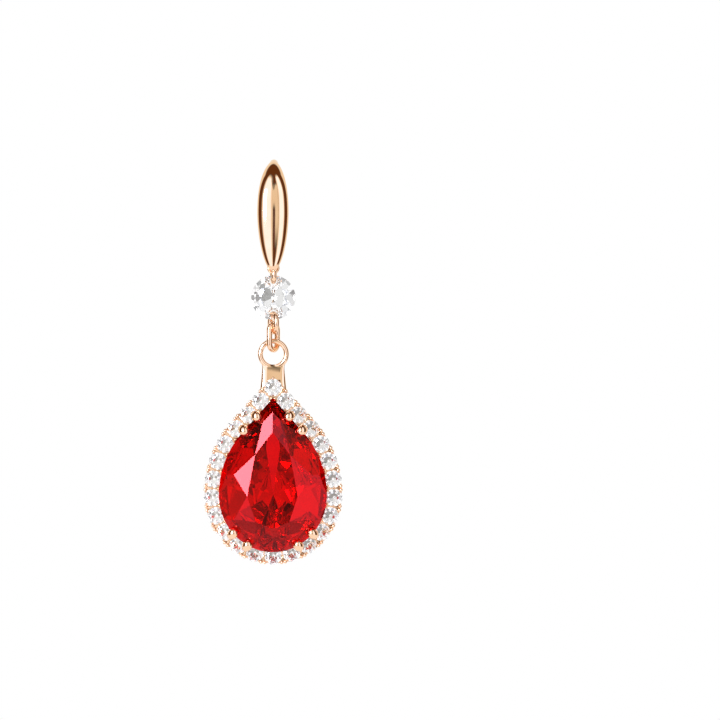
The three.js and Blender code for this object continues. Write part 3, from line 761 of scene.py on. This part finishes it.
def domed_pin(name, x, z, radius, tip, foot):
    """A round pin towards the front, with a domed head."""
    pin = begin(name, bpy.ops.mesh.primitive_cylinder_add, vertices=16, radius=radius, depth=(tip + foot),
                location=Vector((x, (foot - tip) / 2, z)), rotation=(math.radians(90), 0, 0))
    apply_all(pin)
    with editing(pin):
        pick(pin, lambda e: all(v.co.y < (0.01 - tip) for v in e.verts), of="edges")
        bpy.ops.mesh.bevel(offset=0.92 * radius, segments=5)
    return pin


outer = PLATE_EDGE - 0.05
wall = begin("wall", bpy.ops.mesh.primitive_cube_add, size=1, location=(0, 0, 0))
with editing(wall):
    bpy.ops.mesh.select_all(action="SELECT")
    bpy.ops.transform.resize(value=(WALL_T, WALL_RISE + 0.2, 2 * PLATE_EDGE - 0.2), center_override=(0, 0, 0))
    bpy.ops.transform.translate(value=Vector((0, (0.2 - WALL_RISE) / 2, 0)))
    pick(wall, lambda e: all(v.co.y < 0 for v in e.verts), of="edges")
    bpy.ops.mesh.bevel(offset=0.3 * WALL_T, segments=2)
junction_set = join("junction_set", [
    wall,
    domed_pin("prong_left", -PRONG_APART / 2, outer, PRONG_R, PRONG_TIP, 0.3),
    domed_pin("prong_right", PRONG_APART / 2, outer, PRONG_R, PRONG_TIP, 0.3),
    domed_pin("inner_bead", 0, -PLATE_EDGE + 0.14, BEAD_R, PRONG_TIP - 0.06, 0.3),
])
settings_metal = copies_at(junction_set, junctions)
print("junction sets:", len(settings_metal))

# %% [markdown]
# Eight claws hold the red stone. Each rises from the gallery rail behind, leans past the rim's inner edge,
# passes the stone's girdle, and bends over the crown to a fat rounded head.

# %% Claws and gallery rail
RAIL_Y = 2.55
RAIL_R = 0.32
CLAW_PLACES = [0.0612, 0.1077, 0.3876, 0.4339]
CLAW_R = 0.26


def claw_path(reach):
    """Path rows in the plane of Z, outwards from the stone's edge, and Y. reach: the rail inside the edge."""
    bend = [
        (RAIL_Y, -reach, CLAW_R), (0.5 * (RAIL_Y + 0.9), -0.5 * (reach + 0.12), CLAW_R),
        (0.75, -0.14, CLAW_R), (0.2, -0.02, CLAW_R), (-0.45, 0.13, 0.30), (-0.80, 0.24, 0.38),
        (-1.03, 0.22, 0.44), (-1.20, 0.10, 0.49), (-1.27, -0.09, 0.50), (-1.28, -0.27, 0.44),
        (-1.27, -0.40, 0.31), (-1.26, -0.47, 0.15),
    ]
    rows = []
    for number, (y, z, r) in enumerate(bend):
        before, after = bend[max(0, number - 1)], bend[min(len(bend) - 1, number + 1)]
        along = Vector((0, after[0] - before[0], after[1] - before[1]))
        turn = math.degrees(math.atan2(along.z, along.y)) - 90
        if turn < -200:
            turn += 360
        rows.append({"y": y, "z": z, "turn": turn, "half_width": r, "outer": r, "inner": r})
    return rows


claws = []
for share in [s for place in CLAW_PLACES for s in (place, 1 - place)]:
    at, out = place_on(PEAR, share)
    rail_at, _ = place_on(RAIL, share)
    rows = claw_path(max(0.4, (at - rail_at).dot(out)))
    claw = pull_wire("claw", rows, sides=16)
    smooth_over(claw, 1)
    claws += copies_at(claw, [(at, out)])

rail = begin("rail", bpy.ops.mesh.primitive_circle_add, vertices=20, radius=RAIL_R,
             location=Vector((RAIL["half_w"], RAIL_Y, 0)))
apply_all(rail)
sweep_pear(rail, RAIL, 20, 32)
print("claws:", len(claws), "rail in mm:", [round(side, 2) for side in rail.dimensions])

# %% [markdown]
# The neck joins the rim's point to the round bail. It leaves the bail at its lower corners, thin and behind
# the bail's front, and widens to the rim, where its rounded face comes up just behind the rim's own. The
# rim's point then stands on it as a chevron. One half is pulled down in rows, cut along the rim's edge, so
# that the top stone's seat stays open, and mirrored.

# %% Bail and neck
BAIL_UP = HALO["upper"] + 3.1
BAIL_OUTER_R = 1.44
BAIL_WIRE_W = 0.465
NECK_ROWS = 18
NECK_FACE_Y = 0.04
NECK_ROUND = 0.5
NECK_TOP_DOWN = 0.675
NECK_IN_RIM = 0.4
NOTCH_UP = 0.98
bail = begin("bail", bpy.ops.mesh.primitive_torus_add, major_radius=(BAIL_OUTER_R - BAIL_WIRE_W / 2),
             minor_radius=BAIL_WIRE_W / 2, major_segments=112, minor_segments=28,
             location=Vector((0, PLATE_T / 2, BAIL_UP)), rotation=(math.radians(90), 0, 0))
apply_all(bail)

neck_top = BAIL_UP - NECK_TOP_DOWN * BAIL_OUTER_R
neck_foot = HALO["upper"] - NECK_IN_RIM
notch = HALO["upper"] + NOTCH_UP
neck = begin("neck", bpy.ops.mesh.primitive_plane_add, size=2, location=(0, 0, 0))
with editing(neck):
    bpy.ops.mesh.select_all(action="SELECT")
    bpy.ops.mesh.bevel(offset=NECK_ROUND, segments=8, affect="VERTICES")
    bpy.ops.mesh.select_all(action="SELECT")
    now = {"half_w": 1.0, "front": -1.0, "back": 1.0, "z": 0.0}
    for i in range(NECK_ROWS + 1):
        share = i / NECK_ROWS
        row = {
            "half_w": 0.98 + 0.25 * share + 0.08 * (1 - share) ** 12,
            "front": NECK_FACE_Y + 0.36 * max(0, 1 - share / 0.6) ** 2,
            "back": 0.72 + 0.38 * min(1, 1.6 * share) ** 1.5,
            "z": neck_top + (neck_foot - neck_top) * share,
        }
        if i:
            bpy.ops.mesh.extrude_region_move()
        deep = (row["back"] - row["front"]) / (now["back"] - now["front"])
        now_middle = Vector((0, (now["front"] + now["back"]) / 2, now["z"]))
        row_middle = Vector((0, (row["front"] + row["back"]) / 2, row["z"]))
        bpy.ops.transform.resize(value=(row["half_w"] / now["half_w"], deep, 1), center_override=now_middle)
        bpy.ops.transform.translate(value=row_middle - now_middle)
        now = row
    face_outwards()
    turn = shoulder_turn(HALO)
    bpy.ops.mesh.bisect(plane_co=(0, 0, notch), plane_no=(math.cos(turn), 0, math.sin(turn)),
                        clear_inner=True, use_fill=True)
    bpy.ops.mesh.select_all(action="SELECT")
    bpy.ops.mesh.bisect(plane_co=(0, 0, 0), plane_no=(1, 0, 0), clear_inner=True)
modifier = neck.modifiers.new("other half", "MIRROR")
modifier.use_clip = True
modifier.merge_threshold = 2e-3
apply_all(neck)
with editing(neck):
    face_outwards()
cut(neck, bail, "UNION")

halo = join("halo_setting", [rim, neck, rail] + claws + settings_metal)
alone(halo)
halo.location = Vector((0, PLATE_Y, GIRDLE_Z))
apply_all(halo)
finish_metal(halo, "drop", ["halo_frame"])

# %% [markdown]
# A cutter never pulls a stone into shape. A facet is ground flat at a turn round the stone, the azimuth, and
# a slope from the table, and whatever stands in front of the wheel goes. A bisect that clears one side and
# fills the cut is that wheel, so the stones get true flat facets that meet on straight lines.

# %% One facet
def facet(azimuth, slope, away, level, front=True):
    """Grinds the stone in edit mode. away, level: where the facet's line lies, sideways and in depth."""
    turn, tilt = math.radians(azimuth), math.radians(slope)
    out = Vector((math.sin(turn), 0, math.cos(turn)))
    facing = Vector((0, -1 if front else 1, 0))
    bpy.ops.mesh.select_all(action="SELECT")
    bpy.ops.mesh.bisect(plane_co=out * away + Vector((0, level, 0)), clear_outer=True, use_fill=True,
                        plane_no=out * math.sin(tilt) + facing * math.cos(tilt))


def slope_of(rise, run):
    return math.degrees(math.atan2(rise, run))


def finish_stone(stone, body, node, place):
    stone.location = place
    apply_all(stone)
    stone.scale = (MM, MM, MM)
    apply_all(stone)
    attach(stone, body)
    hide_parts(node)
    stones.append(stone)


stones = []

# %% [markdown]
# The small stones and the drilled stone are round brilliants: a table, 8 stars, 8 kites and 16 girdle facets
# in front, and 8 mains and 16 halves behind. The slopes are those of a well cut stone, so that light comes
# back out of the front.

# %% A round brilliant
TABLE_SHARE = 0.56
CROWN_SHARE = 0.28
PAVILION_SLOPE = 40.0
GIRDLE_SHARE = 0.03
STAR_SLOPE = 20
GIRDLE_SLOPE = 39
HALVES_MORE = 1.6


def round_brilliant(name, radius, sides=64):
    table = TABLE_SHARE * radius
    rise = CROWN_SHARE * radius
    edge = GIRDLE_SHARE * radius
    deep = radius * math.tan(math.radians(PAVILION_SLOPE + HALVES_MORE))
    stone = begin(name, bpy.ops.mesh.primitive_cylinder_add, vertices=sides, radius=radius,
                  depth=(rise + deep + 2 * edge), location=(0, (deep - rise) / 2, 0),
                  rotation=(math.radians(90), 0, 0))
    apply_all(stone)
    with editing(stone):
        for i in range(8):
            facet(45 * i, slope_of(rise, radius - table), radius, -edge)
            facet(45 * i + 22.5, STAR_SLOPE, table * math.cos(math.radians(22.5)), -edge - rise)
            facet(45 * i, PAVILION_SLOPE, radius, edge, front=False)
        for i in range(16):
            facet(22.5 * i + 11.25, GIRDLE_SLOPE, radius, -edge)
            facet(22.5 * i + 11.25, PAVILION_SLOPE + HALVES_MORE, radius, edge, front=False)
    return stone


# %% The drilled stone
DRILL_R = 0.36
DRILL_EDGE = 0.54
DRILL_WAIST = 0.1
DRILL_FLARE = 0.4
round_low, round_high = [Vector(corner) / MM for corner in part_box("round_stone")]
round_r = (round_high.x - round_low.x) / 2
round_stone = round_brilliant("drilled_stone", round_r)
for side in (1, -1):
    bore = begin("bore", bpy.ops.mesh.primitive_circle_add, vertices=32, radius=DRILL_R + DRILL_FLARE * 2,
                 fill_type="NGON", location=(0, -2.1, side * (round_r - DRILL_EDGE)),
                 rotation=(math.radians(90), 0, 0))
    apply_all(bore)
    with editing(bore):
        y = -2.1
        for next_y in (-DRILL_WAIST, DRILL_WAIST, 2.1):
            wide = DRILL_R + DRILL_FLARE * max(0, abs(y) - DRILL_WAIST)
            next_wide = DRILL_R + DRILL_FLARE * max(0, abs(next_y) - DRILL_WAIST)
            bpy.ops.mesh.extrude_region_move(TRANSFORM_OT_translate={"value": (0, next_y - y, 0)})
            grow = next_wide / wide
            bpy.ops.transform.resize(value=(grow, 1, grow),
                                     center_override=(0, next_y, side * (round_r - DRILL_EDGE)))
            y = next_y
        face_outwards()
    cut(round_stone, bore)
round_place = Vector((0, HANG_Y, (round_low.z + round_high.z) / 2))
finish_stone(round_stone, "hanger", "round_stone", round_place)
print("drilled stone faces:", len(round_stone.data.polygons), "radius in mm:", round(round_r, 2))

# %% The halo stones
HALO_GIRDLE_Y = -0.22
small = round_brilliant("halo_brilliant", halo_stone_r, sides=48)
for number, stone in enumerate(copies_at(small, stone_places)):
    node = f"halo_stone_{number:02d}"
    stone.name = stone.data.name = f"halo_brilliant_{number:02d}"
    finish_stone(stone, "drop", node, Vector((0, PLATE_Y + HALO_GIRDLE_Y, GIRDLE_Z)))
print("halo stones:", len(stone_places), "radius in mm:", round(halo_stone_r, 3))

# %% [markdown]
# The red stone is a pear brilliant. Its girdle is ground first, upright all round the outline. In front, the
# long star facets lie along the table's edges, the kites stand at its corners, and steep girdle facets run
# round the edge. Two of the stars meet on the centre line below the point, as in the photograph.

# %% The pear's cutting table
PEAR_GIRDLE_Y = -0.78
PEAR_GIRDLE_T = 0.16
PEAR_CROWN_H = 1.35
PEAR_DEPTH = 3.6
pear_run = 90 - math.degrees(shoulder_turn(PEAR))
STARS = [
    {"azimuth": 52.3, "slope": 21, "from_middle": 3.56},
    {"azimuth": 79.3, "slope": 17.5, "from_middle": 2.27},
    {"azimuth": 108.4, "slope": 22, "from_middle": 2.24},
    {"azimuth": 158.8, "slope": 22, "from_middle": 2.85},
]
KITES = [
    {"azimuth": 61.4, "from_middle": 3.20},
    {"azimuth": 97, "from_middle": 2.325},
    {"azimuth": 135, "from_middle": 2.83},
    {"azimuth": 180, "from_middle": 3.05},
]
GIRDLE_FACETS = [
    {"azimuth": pear_run, "slope": 47},
    {"azimuth": 56.5, "slope": 42},
    {"azimuth": 68, "slope": 40},
    {"azimuth": 85, "slope": 40},
    {"azimuth": 105, "slope": 41},
    {"azimuth": 121, "slope": 41},
    {"azimuth": 146, "slope": 41},
    {"azimuth": 167, "slope": 41},
]
MAINS = [0, 61.4, 97, 135, 180]
HALVES = [pear_run, 57, 70, 86, 106, 121, 147, 168]
HALVES_SLOPE_MORE = 4.5


def edge_distance(line, azimuth):
    """From the middle out to the edge that faces an azimuth, measured along it."""
    turn = math.radians(abs(azimuth))
    if turn > math.pi / 2:
        return math.hypot(line["half_w"] * math.sin(turn), line["lower"] * math.cos(turn))
    if turn >= math.pi / 2 - shoulder_turn(line):
        return (line["half_w"] - line["shoulder_r"]) * math.sin(turn) + line["shoulder_r"]
    return line["upper"] * math.cos(turn)


def both_sides(azimuth):
    return [azimuth] if azimuth in (0, 180) else [azimuth, -azimuth]


# %% Grinding the pear
GIRDLE_STEP = 3
front_edge = -PEAR_GIRDLE_T / 2
back_edge = PEAR_GIRDLE_T / 2
table_level = front_edge - PEAR_CROWN_H
pear = begin("pear_brilliant", bpy.ops.mesh.primitive_cube_add, size=24, location=(0, 12 + table_level, 0))
apply_all(pear)
with editing(pear):
    azimuth = pear_run
    while azimuth <= 180:
        for turned in both_sides(azimuth):
            facet(turned, 90, edge_distance(PEAR, azimuth), 0)
        azimuth += (180 - pear_run) / round((180 - pear_run) / GIRDLE_STEP)
    facet(180, 90, PEAR_LOWER, 0)
    for row in STARS:
        for turned in both_sides(row["azimuth"]):
            facet(turned, row["slope"], row["from_middle"], table_level)
    for row in KITES:
        slope = slope_of(PEAR_CROWN_H, edge_distance(PEAR, row["azimuth"]) - row["from_middle"])
        for turned in both_sides(row["azimuth"]):
            facet(turned, slope, row["from_middle"], table_level)
    for row in GIRDLE_FACETS:
        for turned in both_sides(row["azimuth"]):
            facet(turned, row["slope"], edge_distance(PEAR, row["azimuth"]), front_edge)
    for azimuth in MAINS:
        away = edge_distance(PEAR, azimuth)
        for turned in both_sides(azimuth):
            facet(turned, slope_of(PEAR_DEPTH, away), away, back_edge, front=False)
    for azimuth in HALVES:
        away = edge_distance(PEAR, azimuth)
        for turned in both_sides(azimuth):
            facet(turned, slope_of(PEAR_DEPTH, away) + HALVES_SLOPE_MORE, away, back_edge, front=False)
pear_size = [round(side, 2) for side in pear.dimensions]
print("red stone facets:", len(pear.data.polygons), "size in mm:", pear_size)
finish_stone(pear, "drop", "pear_stone", Vector((0, PLATE_Y + PEAR_GIRDLE_Y, GIRDLE_Z)))

# %% [markdown]
# A polished surface is never quite even. The wheel leaves fine traces along its path, and the plating is a
# little cloudy. Both come from noise on Object coordinates, so they keep their size on every piece. They are
# made once, as a group that puts out two plain values, and each finish decides what to do with them.

# %% Group of polishing traces
def polishing_group():
    group = bpy.data.node_groups.new("polishing_traces", "ShaderNodeTree")
    group.interface.new_socket("Cloud Scale", in_out="INPUT", socket_type="NodeSocketFloat")
    group.interface.new_socket("Cloud", in_out="OUTPUT", socket_type="NodeSocketFloat")
    group.interface.new_socket("Traces", in_out="OUTPUT", socket_type="NodeSocketFloat")
    taken = group.nodes.new("NodeGroupInput")
    given = group.nodes.new("NodeGroupOutput")
    place = group.nodes.new("ShaderNodeTexCoord")
    cloud = group.nodes.new("ShaderNodeTexNoise")
    cloud.inputs["Detail"].default_value = 3
    group.links.new(place.outputs["Object"], cloud.inputs["Vector"])
    group.links.new(taken.outputs["Cloud Scale"], cloud.inputs["Scale"])
    group.links.new(cloud.outputs["Fac"], given.inputs["Cloud"])
    stretched = group.nodes.new("ShaderNodeMapping")
    stretched.inputs["Scale"].default_value = (1, 1, 0.1)
    group.links.new(place.outputs["Object"], stretched.inputs["Vector"])
    traces = group.nodes.new("ShaderNodeTexNoise")
    traces.inputs["Detail"].default_value = 2
    group.links.new(stretched.outputs["Vector"], traces.inputs["Vector"])
    group.links.new(math_node(group, "MULTIPLY", taken.outputs["Cloud Scale"], 8), traces.inputs["Scale"])
    group.links.new(traces.outputs["Fac"], given.inputs["Traces"])
    return group


polishing = polishing_group()
given = [item.name for item in polishing.interface.items_tree if item.in_out == "OUTPUT"]
print("polishing group gives:", given)

# %% [markdown]
# One helper builds every finish: two close colours mixed by the clouds, a roughness that follows them, and a
# trace of relief. What is the same all over, such as the index of a stone, is set on the shader itself.

# %% A finish from its values
def finish(material, cloud_mm, colours, roughness, relief=0.0, **constant):
    """cloud_mm: size of a cloud. colours and roughness: at the low and high end. relief: bump strength."""
    material.use_nodes = True
    tree = material.node_tree
    shader = tree.nodes["Principled BSDF"]
    marks = tree.nodes.new("ShaderNodeGroup")
    marks.node_tree = polishing
    marks.inputs["Cloud Scale"].default_value = 1 / (cloud_mm * MM)
    spread = tree.nodes.new("ShaderNodeMapRange")
    spread.inputs["From Min"].default_value = 0.35
    spread.inputs["From Max"].default_value = 0.65
    tree.links.new(marks.outputs["Cloud"], spread.inputs["Value"])
    colour = tree.nodes.new("ShaderNodeMix")
    colour.data_type = "RGBA"
    tree.links.new(spread.outputs["Result"], colour.inputs["Factor"])
    colour.inputs["A"].default_value = (*colours[0], 1)
    colour.inputs["B"].default_value = (*colours[1], 1)
    tree.links.new(colour.outputs["Result"], shader.inputs["Base Color"])
    rough = tree.nodes.new("ShaderNodeMapRange")
    rough.inputs["From Min"].default_value = 0.35
    rough.inputs["From Max"].default_value = 0.65
    rough.inputs["To Min"].default_value = roughness[0]
    rough.inputs["To Max"].default_value = roughness[1]
    tree.links.new(marks.outputs["Traces"], rough.inputs["Value"])
    tree.links.new(rough.outputs["Result"], shader.inputs["Roughness"])
    if relief:
        bump = tree.nodes.new("ShaderNodeBump")
        bump.inputs["Strength"].default_value = relief
        bump.inputs["Distance"].default_value = 0.01 * MM
        tree.links.new(marks.outputs["Traces"], bump.inputs["Height"])
        tree.links.new(bump.outputs["Normal"], shader.inputs["Normal"])
    for socket, value in constant.items():
        shader.inputs[socket.replace("_", " ")].default_value = value
    print("finish:", material.name)
    return tree


# %% [markdown]
# Rose gold is copper-rich, so its reflection is warm and a little redder in the thin places of the plating.
# The front face and the seats are satin white, a painted highlight. The small stones are colourless with a
# high index, so they throw light back.

# %% Gold, painted white highlight and colourless stones
finish(gold, 0.9, [(0.95, 0.65, 0.43), (0.93, 0.62, 0.40)], (0.05, 0.08), relief=0.05, Metallic=1)
# The front face and seats: satin white metal, a painted highlight for gold lit to white.
finish(white, 0.4, [(0.97, 0.96, 0.95), (0.93, 0.92, 0.91)], (0.36, 0.46), relief=0.2, Metallic=1)
clear = bpy.data.materials.new("colourless_stone")
finish(clear, 0.8, [(1, 1, 1), (0.985, 0.99, 0.995)], (0, 0.004), IOR=2.1, Transmission_Weight=1)

# %% [markdown]
# The red stone takes its colour twice. Its depth swallows everything but red, which makes long paths through
# it nearly black and short ones bright, and its surface is tinted in faint zones as a grown crystal is.
# The tint of its gloss is red too, so only the brightest paper shows on it, as pink.

# %% Red stone
red = bpy.data.materials.new("deep_red_stone")
red_tree = finish(red, 3.5, [(0.82, 0.004, 0.008), (0.74, 0.003, 0.014)], (0, 0.004), IOR=2.1,
                  Transmission_Weight=1, Specular_Tint=(1, 0.10, 0.10, 1))
depth = red_tree.nodes.new("ShaderNodeVolumeAbsorption")
depth.inputs["Color"].default_value = (0.92, 0.02, 0.04, 1)
depth.inputs["Density"].default_value = 330
red_tree.links.new(depth.outputs[0], red_tree.nodes["Material Output"].inputs["Volume"])


# %% Which piece gets which finish
def dress(piece, material):
    """Fills the empty slots that cuts and joins leave, or adds the first."""
    for slot in piece.material_slots:
        slot.material = slot.material or material
    if not piece.material_slots:
        piece.data.materials.append(material)


for piece in metal_pieces:
    dress(piece, gold)
for stone in stones:
    dress(stone, red if stone.name == "pear_brilliant" else clear)
print("dressed pieces:", len(metal_pieces) + len(stones))

# %% [markdown]
# The photograph is cut out on white. A plain pale floor lies below the picture's lower edge, and gives the
# earring a ground in the other views.

# %% Floor
FLOOR_R = 100
FLOOR_Z = -65
floor = begin("pale_floor", bpy.ops.mesh.primitive_circle_add, vertices=96, radius=FLOOR_R, fill_type="NGON",
              location=(0, 0, FLOOR_Z))
floor.scale = (MM, MM, MM)
floor.location = (0, 0, FLOOR_Z * MM)
apply_all(floor)
board = bpy.data.materials.new("pale_board")
finish(board, 2, [(0.93, 0.925, 0.92), (0.92, 0.915, 0.91)], (0.75, 0.85), relief=0.1)
dress(floor, board)
floor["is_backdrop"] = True

visual_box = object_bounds()
for name, (low, high) in (("packed model", cad_box), ("with its looks", visual_box)):
    print(name, "in mm:", [round((b - a) / MM, 2) for a, b in zip(low, high)])
